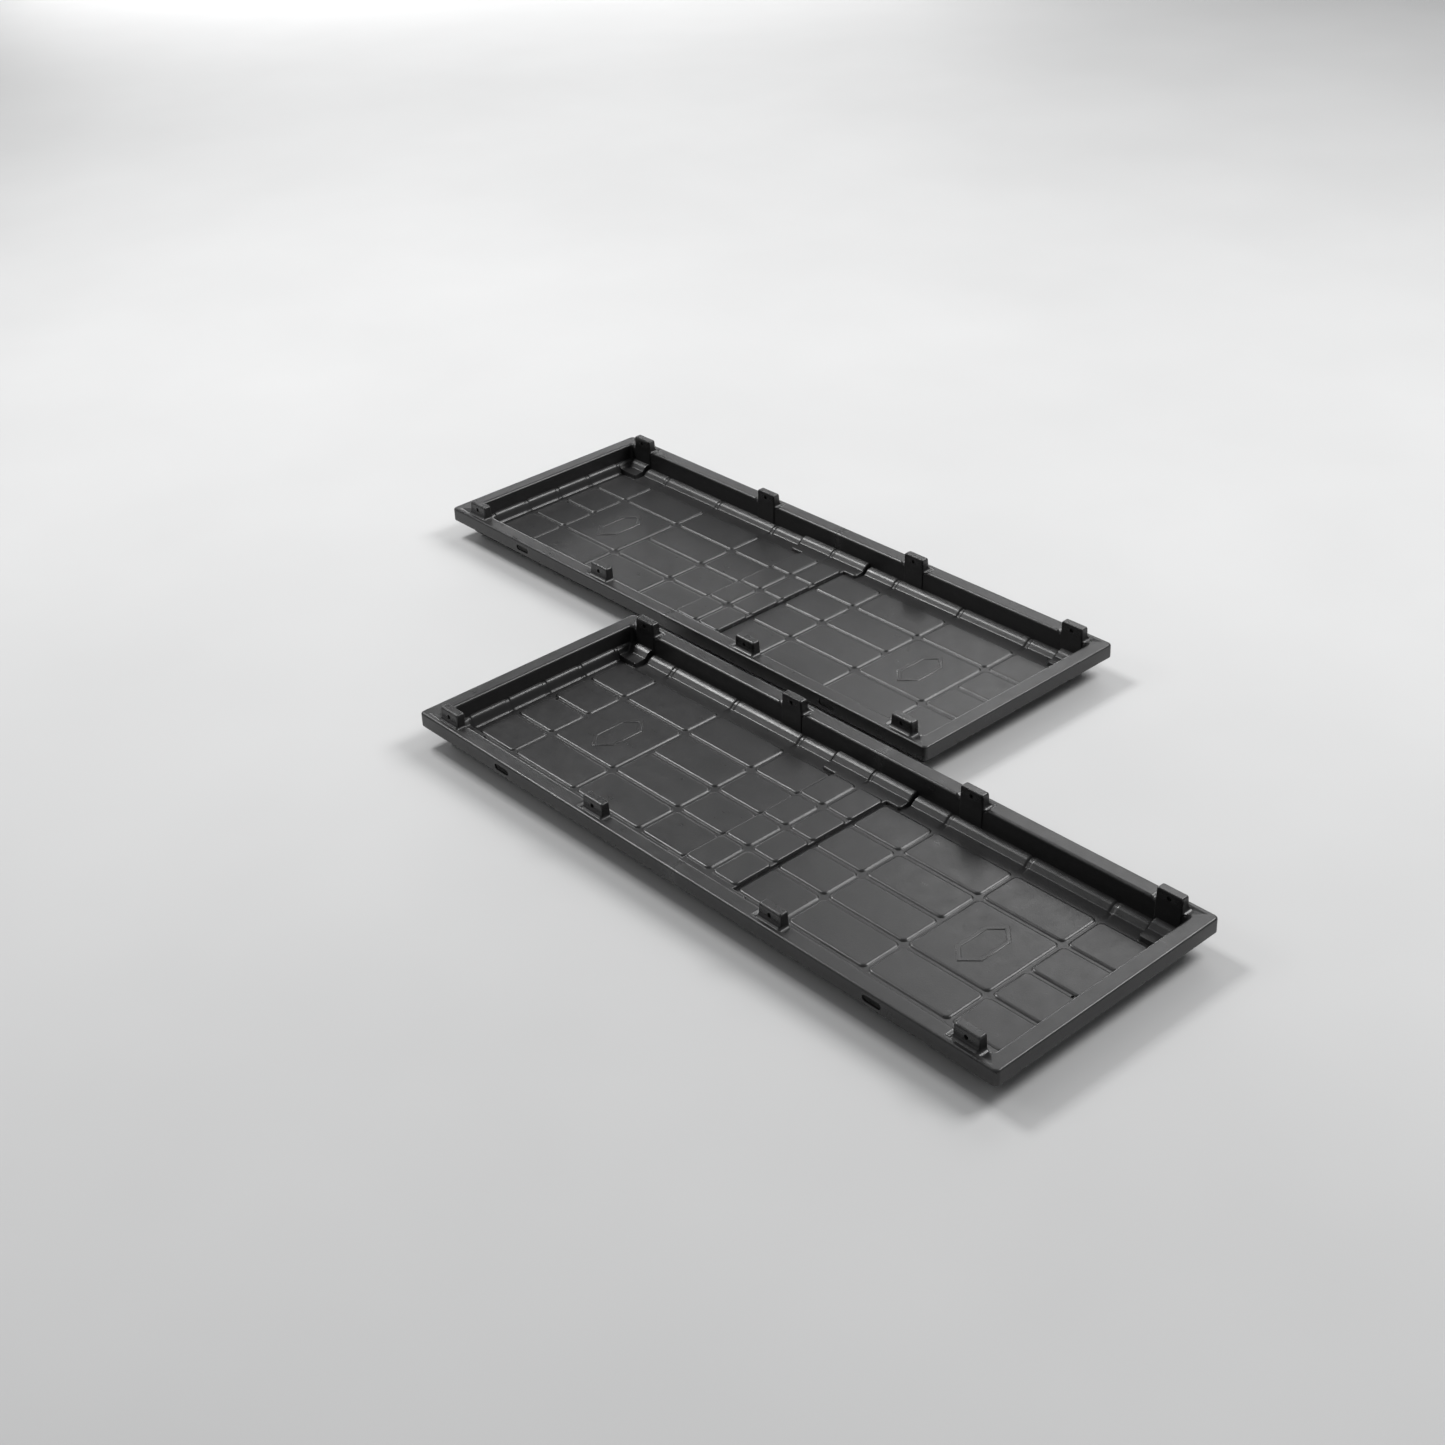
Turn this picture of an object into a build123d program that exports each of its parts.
from build123d import *
import os

# Pair of half-width cargo trays that line a pickup bed floor.
# Frame: X to the right, Y forward (to the cab), Z up, millimetres.
# Origin: on the surface the trays stand on (Z = 0), on the centre line
# between the two trays, half-way along the pair as it stands at rest.
# Each tray is modelled in its own frame, with X = 0 at its left side and Y = 0 at
# its rear end, and is moved into place at export.

# ---- tray ----------------------------------------------------------------
TRAY_W = 550.0        # width of one tray over the skirts
TRAY_L = 1500.0       # length of one tray over the skirts
TRAY_GAP = 38.0       # side gap between the two trays
DRAW_OUT = 700.0      # how far the left tray stands rearward of the right one
MID = TRAY_W / 2
HALF = TRAY_L / 2
JOINT_GAP = 0.2       # butt gap between the two mouldings of a tray
JOINT_Y = HALF - JOINT_GAP / 2        # joint face of the rear moulding
OVERLAP = 1.0         # how far solids run into each other and cutters run past a face

RIM_Z = 70.0          # top of the rim above the ground plane
RIM_W = 35.0          # width of the flat rim, outer face to inner wall face
SKIRT_H = 30.0        # height of the down-turned outer skirt
WALL_T = 4.0          # moulded wall thickness
FLOOR_Z = 13.0        # top of the floor web at groove level
FLOOR_T = 4.0         # floor web thickness
UNDER = FLOOR_Z - FLOOR_T             # underside of the floor web

RIM_CORNER_R = 9.0    # plan corner radii, from the outside in
SKIRT_INNER_R = 6.0
TUB_OUTER_R = 14.0
TUB_INNER_R = 10.0
RIM_OUTER_FILLET = 3.0
RIM_INNER_FILLET = 2.5
RIM_OVERRUN = 20.0    # the rim block runs this far past the joint before trimming
TUB_RUN = 1000.0      # untrimmed length of the tub blocks

# ---- floor panels --------------------------------------------------------
PANEL_RISE = 3.0      # height of the raised floor panels above the grooves
PANEL_R = 9.0         # corner radius of the raised panels
GROOVE_W = 11.0       # width of the grooves between panels
ROW_LINES = (178.0, 366.0, 556.0)     # cross groove centres from a tray's end
COL_LINES = [MID + offset for offset in (-93.0, 0.0, 93.0)]     # long groove centres

# ---- concave bands at the foot of the walls ------------------------------
COVE_W = 42.0         # width of the band at the side walls
COVE_GAP = 14.0       # flat strip between the band and the outer panels
END_COVE_W = 26.0     # width of the narrower band at the closed end wall
END_COVE_GAP = 7.0
# sections as (distance from the wall, height above their base), wall last
BAND = ((COVE_W, 0.4), (30.0, 2.8), (20.0, 7.2), (9.0, 12.6), (-1.0, 13.5))
END_BAND = ((END_COVE_W, 2.0), (20.0, 3.2), (13.0, 7.5), (7.0, 12.2), (-1.0, 13.0))
# the same bands where a cross groove runs over them
LOW_BAND = ((29.0, 0.0), (20.0, 4.2), (9.0, 9.6), (-1.0, 10.5))
LOW_END_BAND = ((20.0, 0.2), (13.0, 4.5), (7.0, 9.2), (-1.0, 10.0))

# ---- raised corner pads --------------------------------------------------
PAD_X = 49.0          # width from the wall
PAD_Y = 66.0          # length from the end wall
PAD_TOP = 23.0        # top at the inner edge; it rises to the wall like the band
PAD_R = 5.0
PAD_LAP = 2.0         # how far the low bands run into the pads
PAD_CLEAR = 4.0       # groove between a pad and the full side band

# ---- tabs ----------------------------------------------------------------
TAB_H = 26.0          # tab height above the rim
TAB_T = 17.5          # tab thickness
TAB_L = 54.0          # tab length
TAB_STARTS = (51.0, 490.0)            # tab start from a tray's end
TAB_PROUD = 1.5       # how far the tab and its pilaster stand proud of the wall
TAB_IN = RIM_W + TAB_PROUD            # tab inner face from the outer skirt
TAB_OUT = TAB_IN - TAB_T              # tab outer face from the outer skirt
TAB_WALL = 3.5
TAB_R = 3.5
TAB_TOP_FILLET = 3.0
TAB_HOLLOW_RISE = 14.0                # foot of the tab's hollow above the floor web
TAB_HOLE_R = 4.0      # tie-down hole radius
TAB_HOLE_Z = RIM_Z + 13.5
PILASTER_DEPTH = 2.0  # how far the pilaster is rooted in the wall
PILASTER_LAP = 2.0    # how far it runs up past the rim top, into the tab
PILASTER_R = 1.2
NOTCH_M = 7.0         # clear ledge each side of a tab
NOTCH_OUT = 6.0       # clear ledge outside a tab
NOTCH_D = 4.0         # how far that ledge lies below the rim top
NOTCH_EDGE = 3.0      # how far the ledge block runs past the notch
LEDGE_Z = RIM_Z - NOTCH_D
LEDGE_UNDER = LEDGE_Z - WALL_T

# ---- slots, drain and long hexagon ring ----------------------------------
SLOT_Y = 264.0        # strap slot centre from a tray's end
SLOT_L = 42.0
SLOT_H = 13.0
SLOT_Z = 54.0
DRAIN_Y = 80.0        # drain hole centre from a tray's end
DRAIN_R = 3.0
EMBLEM_X = 66.0       # half length of the ring on the wide centre panel
EMBLEM_Y = 30.0       # half width
EMBLEM_W = 8.0
EMBLEM_H = 1.2
EMBLEM_SINK = 0.5     # how far the ring is rooted in the panel

# ---- joiner cover --------------------------------------------------------
JOIN_HALF = 68.0      # floor plate, half length
WING_HALF = 102.0     # wing, half length
WING_W = 49.0         # wing, width from the wall
WING_WALL_GAP = 0.3   # gap between wing and side wall
WING_GROOVE = 7.0     # width of the shallow groove across each wing
WING_GROOVE_D = 2.0   # its depth
WING_LAP = 1.5        # how far the grooved piece runs into the wing each side
JOIN_Z = 20.0         # top at groove level
CELL_Z = 23.0         # cell top
COVER_CLEAR = 4.0     # gap from the cover to the floor panels and bands
PLATE_LAP = 4.0       # how far the plate runs into the wings
PLATE_R = 3.0
CELL_SIDE_INSET = 7.0                 # outer cells from the wings
CELL_END_INSET = 1.5                  # cells from the plate's ends
CELL_WALL = 5.0
CELL_ROOF = 4.0
BOSS_R = 7.0          # screw boss in each cell pocket

# ---- running glides ------------------------------------------------------
GLIDE_W = 44.0
GLIDE_L = 58.0
GLIDE_MID_L = 120.0
GLIDE_H = UNDER       # glides reach from the ground to the floor web
GLIDE_R = 8.0
GLIDE_FILLET = 2.5
GLIDE_X = RIM_W + 29.0                # glide centre from the tray's side
GLIDE_XS = (GLIDE_X, TRAY_W - GLIDE_X)
GLIDE_END_Y = RIM_W + 33.0            # end glide centre from the tray's end
GLIDE_END_YS = (GLIDE_END_Y, TRAY_L - GLIDE_END_Y)
GLIDE_MID_HOLE = 38.0                 # middle glide screws from the joint
GLIDE_MID_YS = (HALF - GLIDE_MID_HOLE, HALF + GLIDE_MID_HOLE)

# ---- backing strip and screws --------------------------------------------
STRIP_L = 360.0       # along X
STRIP_W = 112.0       # along Y
STRIP_T = 3.0
STRIP_R = 6.0
JOIN_ROW = 34.0       # joiner screw rows from the joint
JOIN_YS = (HALF - JOIN_ROW, HALF + JOIN_ROW)
SCREW_R = 2.5
SCREW_CLEAR = 0.15    # radial clearance in blind holes
PLATE_CLEAR = 0.3     # in the glides and the strip
MOULD_CLEAR = 0.4     # in the floor web
HEAD_R = 5.0
HEAD_H = 3.0
HEAD_FILLET = 1.4
HEAD_CLEAR = 0.8      # radial clearance round the head in a glide
HEAD_RECESS = 2.0     # nominal depth of the head above the ground
GLIDE_SEAT_Z = HEAD_RECESS + HEAD_H + 0.2
TIP_L = 1.5
TIP_R = 0.9
SHANK_LAP = 0.5       # how far the shank runs into the head
DRIVE_R = 2.3         # hexagon recess
DRIVE_REACH = 1.6     # cutter reach each way from its middle
DRIVE_Z = 0.6         # cutter middle above the head's lower face
# screw tips and blind hole ends, below the top of the piece they enter
TIP_DEPTH = 4.0
BLIND_DEPTH = 3.5
MID_TIP_DEPTH = 2.0   # the same for the middle glides
MID_BLIND_DEPTH = 1.0


# ---- small builders ------------------------------------------------------
def block(x0, x1, y0, y1, z0, z1):
    centre = Pos((x0 + x1) / 2, (y0 + y1) / 2, (z0 + z1) / 2)
    return centre * Box(x1 - x0, y1 - y0, z1 - z0)


def round_block(x0, x1, y0, y1, z0, z1, radius, top=0.0):
    """Upright block with rounded corners and an optional soft top edge."""
    base = Pos((x0 + x1) / 2, (y0 + y1) / 2, z0) * RectangleRounded(x1 - x0, y1 - y0, radius)
    solid = extrude(base, amount=z1 - z0)
    if top:
        solid = fillet(solid.faces().sort_by(Axis.Z)[-1].edges(), top)
    return solid


def rod(x, y, z0, z1, radius):
    return Pos(x, y, (z0 + z1) / 2) * Cylinder(radius, z1 - z0)


def spans(start, grooves, end):
    """Stretches between start and end, parted by grooves at the given centres."""
    starts = [start] + [groove + GROOVE_W / 2 for groove in grooves]
    ends = [groove - GROOVE_W / 2 for groove in grooves] + [end]
    return list(zip(starts, ends))


def side_span(right, near, far):
    """X range between two distances from the tray's left or right side."""
    return (TRAY_W - far, TRAY_W - near) if right else (near, far)


def band_outline(section, bottom, base):
    """Closed band section as (distance from the tray's edge, Z)."""
    return [(RIM_W + section[0][0], bottom),
            *[(RIM_W + reach, base + rise) for reach, rise in section],
            (RIM_W + section[-1][0], bottom)]


def side_band(right, y0, y1, bottom, base, section):
    """Concave band along Y at the left or right wall."""
    points = band_outline(section, bottom, base)
    if right:
        points = [(TRAY_W - x, z) for x, z in points]
    face = Plane.XZ * make_face(Polyline(*points, close=True))
    return Pos(0, y0, 0) * extrude(face, amount=-(y1 - y0))


def end_band(x0, x1, section):
    """Concave band along X at the closed end wall."""
    points = band_outline(section, FLOOR_Z - OVERLAP, FLOOR_Z)
    face = Plane.YZ * make_face(Polyline(*points, close=True))
    return Pos(x0, 0, 0) * extrude(face, amount=x1 - x0)


PANEL_EDGE = RIM_W + COVE_W + COVE_GAP
COLUMNS = spans(PANEL_EDGE, COL_LINES, TRAY_W - PANEL_EDGE)
ROWS = spans(RIM_W + END_COVE_W + END_COVE_GAP, ROW_LINES, HALF - JOIN_HALF - COVER_CLEAR)
JOIN_XS = [(x0 + x1) / 2 for x0, x1 in COLUMNS]       # a joiner screw in every column


# ---- one moulded half (rear half: its closed end at Y = 0) ---------------
def shell():
    """Rim, skirt and tub, open at the joint."""
    rim = round_block(0, TRAY_W, 0, JOINT_Y + RIM_OVERRUN, RIM_Z - SKIRT_H, RIM_Z,
                      RIM_CORNER_R, RIM_OUTER_FILLET)
    rim -= block(-5, TRAY_W + 5, JOINT_Y, JOINT_Y + 60, 0, 200)
    skirt = rim - round_block(WALL_T, TRAY_W - WALL_T, WALL_T, JOINT_Y + RIM_OVERRUN - WALL_T,
                              RIM_Z - SKIRT_H - OVERLAP, RIM_Z - WALL_T, SKIRT_INNER_R)
    tub_edge = RIM_W - WALL_T
    tub = round_block(tub_edge, TRAY_W - tub_edge, tub_edge, tub_edge + TUB_RUN,
                      UNDER, RIM_Z - OVERLAP, TUB_OUTER_R)
    tub -= block(-5, TRAY_W + 5, JOINT_Y, 2000, -5, 200)
    inside = round_block(RIM_W, TRAY_W - RIM_W, RIM_W, RIM_W + TUB_RUN,
                         FLOOR_Z, FLOOR_Z + RIM_Z, TUB_INNER_R)
    body = skirt + tub - inside
    inner_edges = [
        edge for edge in body.edges()
        if abs(edge.center().Z - RIM_Z) < 0.01
        and RIM_W - 1 < edge.center().X < TRAY_W - RIM_W + 1
        and RIM_W - 1 < edge.center().Y < JOINT_Y - 0.5]
    return fillet(inner_edges, RIM_INNER_FILLET)


def floor_panels():
    """Four columns of panels; the second row has one wide centre panel."""
    wide_row = [COLUMNS[0], (COLUMNS[1][0], COLUMNS[2][1]), COLUMNS[3]]
    return [round_block(x0, x1, y0, y1, FLOOR_Z - OVERLAP, FLOOR_Z + PANEL_RISE, PANEL_R)
            for row, (y0, y1) in enumerate(ROWS)
            for x0, x1 in (wide_row if row == 1 else COLUMNS)]


def wall_bands():
    """Low bands all along the walls, with full bands on them between the grooves."""
    bottom = FLOOR_Z - OVERLAP
    pad_end = RIM_W + PAD_Y
    band_end = HALF - WING_HALF - COVER_CLEAR
    bands = [side_band(right, pad_end - PAD_LAP, band_end, bottom, FLOOR_Z, LOW_BAND)
             for right in (False, True)]
    low_start = RIM_W + PAD_X - PAD_LAP
    bands.append(end_band(low_start, TRAY_W - low_start, LOW_END_BAND))
    for y0, y1 in spans(pad_end + PAD_CLEAR, ROW_LINES, band_end):
        for right in (False, True):
            bands.append(side_band(right, y0, y1, bottom, FLOOR_Z, BAND))
    bands += [end_band(x0, x1, END_BAND) for x0, x1 in COLUMNS]
    return bands


def corner_pads():
    """Pads over the end glides, rising to the side wall."""
    pads = []
    y0, y1 = RIM_W - OVERLAP, RIM_W + PAD_Y
    for right in (False, True):
        x0, x1 = side_span(right, RIM_W - OVERLAP, RIM_W + PAD_X)
        pads.append(round_block(x0, x1, y0, y1, FLOOR_Z - OVERLAP, PAD_TOP, PAD_R))
        pads.append(side_band(right, y0, y1, FLOOR_Z, PAD_TOP, BAND))
    return pads


def long_hexagon(inset):
    """Hexagon with 45 degree ends, its sides moved in by inset."""
    tip = EMBLEM_X - inset * 2 ** 0.5
    side = EMBLEM_Y - inset
    corner = tip - side
    return make_face(Polyline((tip, 0), (corner, side), (-corner, side),
                              (-tip, 0), (-corner, -side), (corner, -side), close=True))


def hexagon_ring():
    ring = long_hexagon(0.0) - long_hexagon(EMBLEM_W)
    place = Pos(MID, sum(ROWS[1]) / 2, FLOOR_Z + PANEL_RISE - EMBLEM_SINK)
    return extrude(place * ring, amount=EMBLEM_H + EMBLEM_SINK)


def add_tab(body, right, y0):
    """Post through the rim on a pilaster, with a lowered ledge round it."""
    y1 = y0 + TAB_L
    notch_out = TAB_OUT - NOTCH_OUT
    x0, x1 = side_span(right, notch_out - NOTCH_EDGE, RIM_W - OVERLAP)
    margin = NOTCH_M + NOTCH_EDGE
    body += block(x0, x1, y0 - margin, y1 + margin, LEDGE_UNDER, RIM_Z - OVERLAP)
    x0, x1 = side_span(right, notch_out, RIM_W + 3)
    body -= block(x0, x1, y0 - NOTCH_M, y1 + NOTCH_M, LEDGE_Z, RIM_Z + 2)
    x0, x1 = side_span(right, TAB_OUT, TAB_IN)
    body += round_block(x0, x1, y0, y1, LEDGE_UNDER, RIM_Z + TAB_H, TAB_R, TAB_TOP_FILLET)
    x0, x1 = side_span(right, RIM_W - PILASTER_DEPTH, TAB_IN)
    body += round_block(x0, x1, y0, y1, FLOOR_Z - OVERLAP, RIM_Z + PILASTER_LAP, PILASTER_R)
    return body


def tab_cuts(right, y0):
    """Hollow of a tab and the hole across it."""
    y1 = y0 + TAB_L
    x0, x1 = side_span(right, TAB_OUT + TAB_WALL, TAB_IN - TAB_WALL)
    hollow = block(x0, x1, y0 + TAB_WALL, y1 - TAB_WALL,
                   FLOOR_Z + TAB_HOLLOW_RISE, RIM_Z + TAB_H - TAB_WALL)
    hole = Rot(0, 90, 0) * Cylinder(TAB_HOLE_R, TAB_T + 6)
    return [hollow, Pos((x0 + x1) / 2, (y0 + y1) / 2, TAB_HOLE_Z) * hole]


def skirt_slot(x):
    slot = extrude(Plane.YZ * SlotOverall(SLOT_L, SLOT_H), amount=WALL_T + 6, both=True)
    return Pos(x, SLOT_Y, SLOT_Z) * slot


def floor_holes():
    """Drain hole at the end of the centre groove, and the screw holes."""
    low, high = UNDER - OVERLAP, FLOOR_Z + OVERLAP
    holes = [rod(MID, DRAIN_Y, low, high, DRAIN_R)]
    for x in JOIN_XS:
        holes.append(rod(x, JOIN_YS[0], low, high, SCREW_R + MOULD_CLEAR))
    for x in GLIDE_XS:
        holes.append(rod(x, GLIDE_MID_YS[0], low, high, SCREW_R + MOULD_CLEAR))
        holes.append(rod(x, GLIDE_END_Y, low, PAD_TOP - BLIND_DEPTH, SCREW_R + SCREW_CLEAR))
    return holes


def half_moulding():
    body = shell()
    cuts = []
    for y0 in TAB_STARTS:
        for right in (False, True):
            body = add_tab(body, right, y0)
            cuts += tab_cuts(right, y0)
    body = body + (floor_panels() + wall_bands() + corner_pads() + [hexagon_ring()])
    cuts += [skirt_slot(x) for x in (WALL_T / 2, TRAY_W - WALL_T / 2)]
    return body - (cuts + floor_holes())


# ---- joiner cover: raised plate with two rows of cells and cove wings ----
def joiner_cover():
    x0, x1 = RIM_W + WING_W, TRAY_W - RIM_W - WING_W
    solid = round_block(x0 - PLATE_LAP, x1 + PLATE_LAP, HALF - JOIN_HALF, HALF + JOIN_HALF,
                        FLOOR_Z, JOIN_Z, PLATE_R)
    # each wing is crossed at mid length by one shallow groove
    section = ((WING_W, 0.0), *BAND[:-1], (WING_WALL_GAP, BAND[-1][1]))
    low = [(reach, max(0.0, rise - WING_GROOVE_D)) for reach, rise in section]
    groove = WING_GROOVE / 2
    for right in (False, True):
        for y0, y1, shape in ((HALF - WING_HALF, HALF - groove, section),
                              (HALF + groove, HALF + WING_HALF, section),
                              (HALF - groove - WING_LAP, HALF + groove + WING_LAP, low)):
            solid += side_band(right, y0, y1, FLOOR_Z, JOIN_Z, shape)

    # cells, hollow below but for a boss round each screw
    columns = spans(x0 + CELL_SIDE_INSET, COL_LINES, x1 - CELL_SIDE_INSET)
    row_edge = JOIN_HALF - CELL_END_INSET
    rows = spans(HALF - row_edge, (HALF,), HALF + row_edge)
    low_z = FLOOR_Z - OVERLAP
    cuts = []
    for (left, right), screw_x in zip(columns, JOIN_XS):
        for (y0, y1), screw_y in zip(rows, JOIN_YS):
            solid += round_block(left, right, y0, y1, JOIN_Z - OVERLAP, CELL_Z, PANEL_R)
            pocket = block(left + CELL_WALL, right - CELL_WALL, y0 + CELL_WALL, y1 - CELL_WALL,
                           low_z, CELL_Z - CELL_ROOF)
            cuts.append(pocket - rod(screw_x, screw_y, low_z - OVERLAP, CELL_Z, BOSS_R))
    for xs, ys, top in ((JOIN_XS, JOIN_YS, CELL_Z - BLIND_DEPTH),
                        (GLIDE_XS, GLIDE_MID_YS, JOIN_Z - MID_BLIND_DEPTH)):
        cuts += [rod(x, y, low_z, top, SCREW_R + SCREW_CLEAR) for x in xs for y in ys]
    return solid - cuts


# ---- running glides, strip and screws ------------------------------------
def glide(x, centre_y, length, hole_ys):
    solid = round_block(x - GLIDE_W / 2, x + GLIDE_W / 2,
                        centre_y - length / 2, centre_y + length / 2, 0, GLIDE_H, GLIDE_R)
    solid = fillet(solid.faces().sort_by(Axis.Z)[0].edges(), GLIDE_FILLET)
    for y in hole_ys:
        solid -= rod(x, y, -OVERLAP, GLIDE_H + OVERLAP, SCREW_R + PLATE_CLEAR)
        solid -= rod(x, y, -OVERLAP, GLIDE_SEAT_Z, HEAD_R + HEAD_CLEAR)
    return solid


def backing_strip():
    strip = round_block(MID - STRIP_L / 2, MID + STRIP_L / 2,
                        HALF - STRIP_W / 2, HALF + STRIP_W / 2, UNDER - STRIP_T, UNDER, STRIP_R)
    for x in JOIN_XS:
        for y in JOIN_YS:
            strip -= rod(x, y, 0, UNDER + OVERLAP, SCREW_R + PLATE_CLEAR)
    return strip


def screw(x, y, seat_z, tip_z):
    """Pan-head screw pointing up, the head below its seat."""
    head = Pos(x, y, seat_z - HEAD_H / 2) * Cylinder(HEAD_R, HEAD_H)
    head = fillet(head.edges().sort_by(Axis.Z)[0], HEAD_FILLET)
    shank = rod(x, y, seat_z - SHANK_LAP, tip_z - TIP_L, SCREW_R)
    tip = Pos(x, y, tip_z - TIP_L / 2) * Cone(SCREW_R, TIP_R, TIP_L)
    drive = extrude(RegularPolygon(DRIVE_R, 6), amount=DRIVE_REACH, both=True)
    return head + shank + tip - Pos(x, y, seat_z - HEAD_H + DRIVE_Z) * drive


def screws(xs, ys, seat_z, tip_z):
    return [screw(x, y, seat_z, tip_z) for x in xs for y in ys]


# ---- both trays ----------------------------------------------------------
rear = half_moulding()
parts = {
    "rear_half": rear,
    "front_half": Pos(0, TRAY_L, 0) * mirror(rear, about=Plane.XZ),
    "joiner_cover": joiner_cover(),
    "backing_strip": backing_strip(),
    "joiner_screws": Part() + screws(JOIN_XS, JOIN_YS, UNDER - STRIP_T, CELL_Z - TIP_DEPTH),
    "glide_screws": Part() + (
        screws(GLIDE_XS, GLIDE_END_YS, GLIDE_SEAT_Z, PAD_TOP - TIP_DEPTH)
        + screws(GLIDE_XS, GLIDE_MID_YS, GLIDE_SEAT_Z, JOIN_Z - MID_TIP_DEPTH)),
}
for side, x in zip(("left", "right"), GLIDE_XS):
    for end, y in zip(("rear", "front"), GLIDE_END_YS):
        parts[f"glide_{end}_{side}"] = glide(x, y, GLIDE_L, (y,))
    parts[f"glide_mid_{side}"] = glide(x, HALF, GLIDE_MID_L, GLIDE_MID_YS)

os.makedirs("parts", exist_ok=True)
tray_places = {"left": Pos(-TRAY_GAP / 2 - TRAY_W, -HALF - DRAW_OUT / 2, 0),
               "right": Pos(TRAY_GAP / 2, -HALF + DRAW_OUT / 2, 0)}
for side, place in tray_places.items():
    for name, shape in parts.items():
        export_step(place * shape, f"parts/{side}_tray_{name}.step")
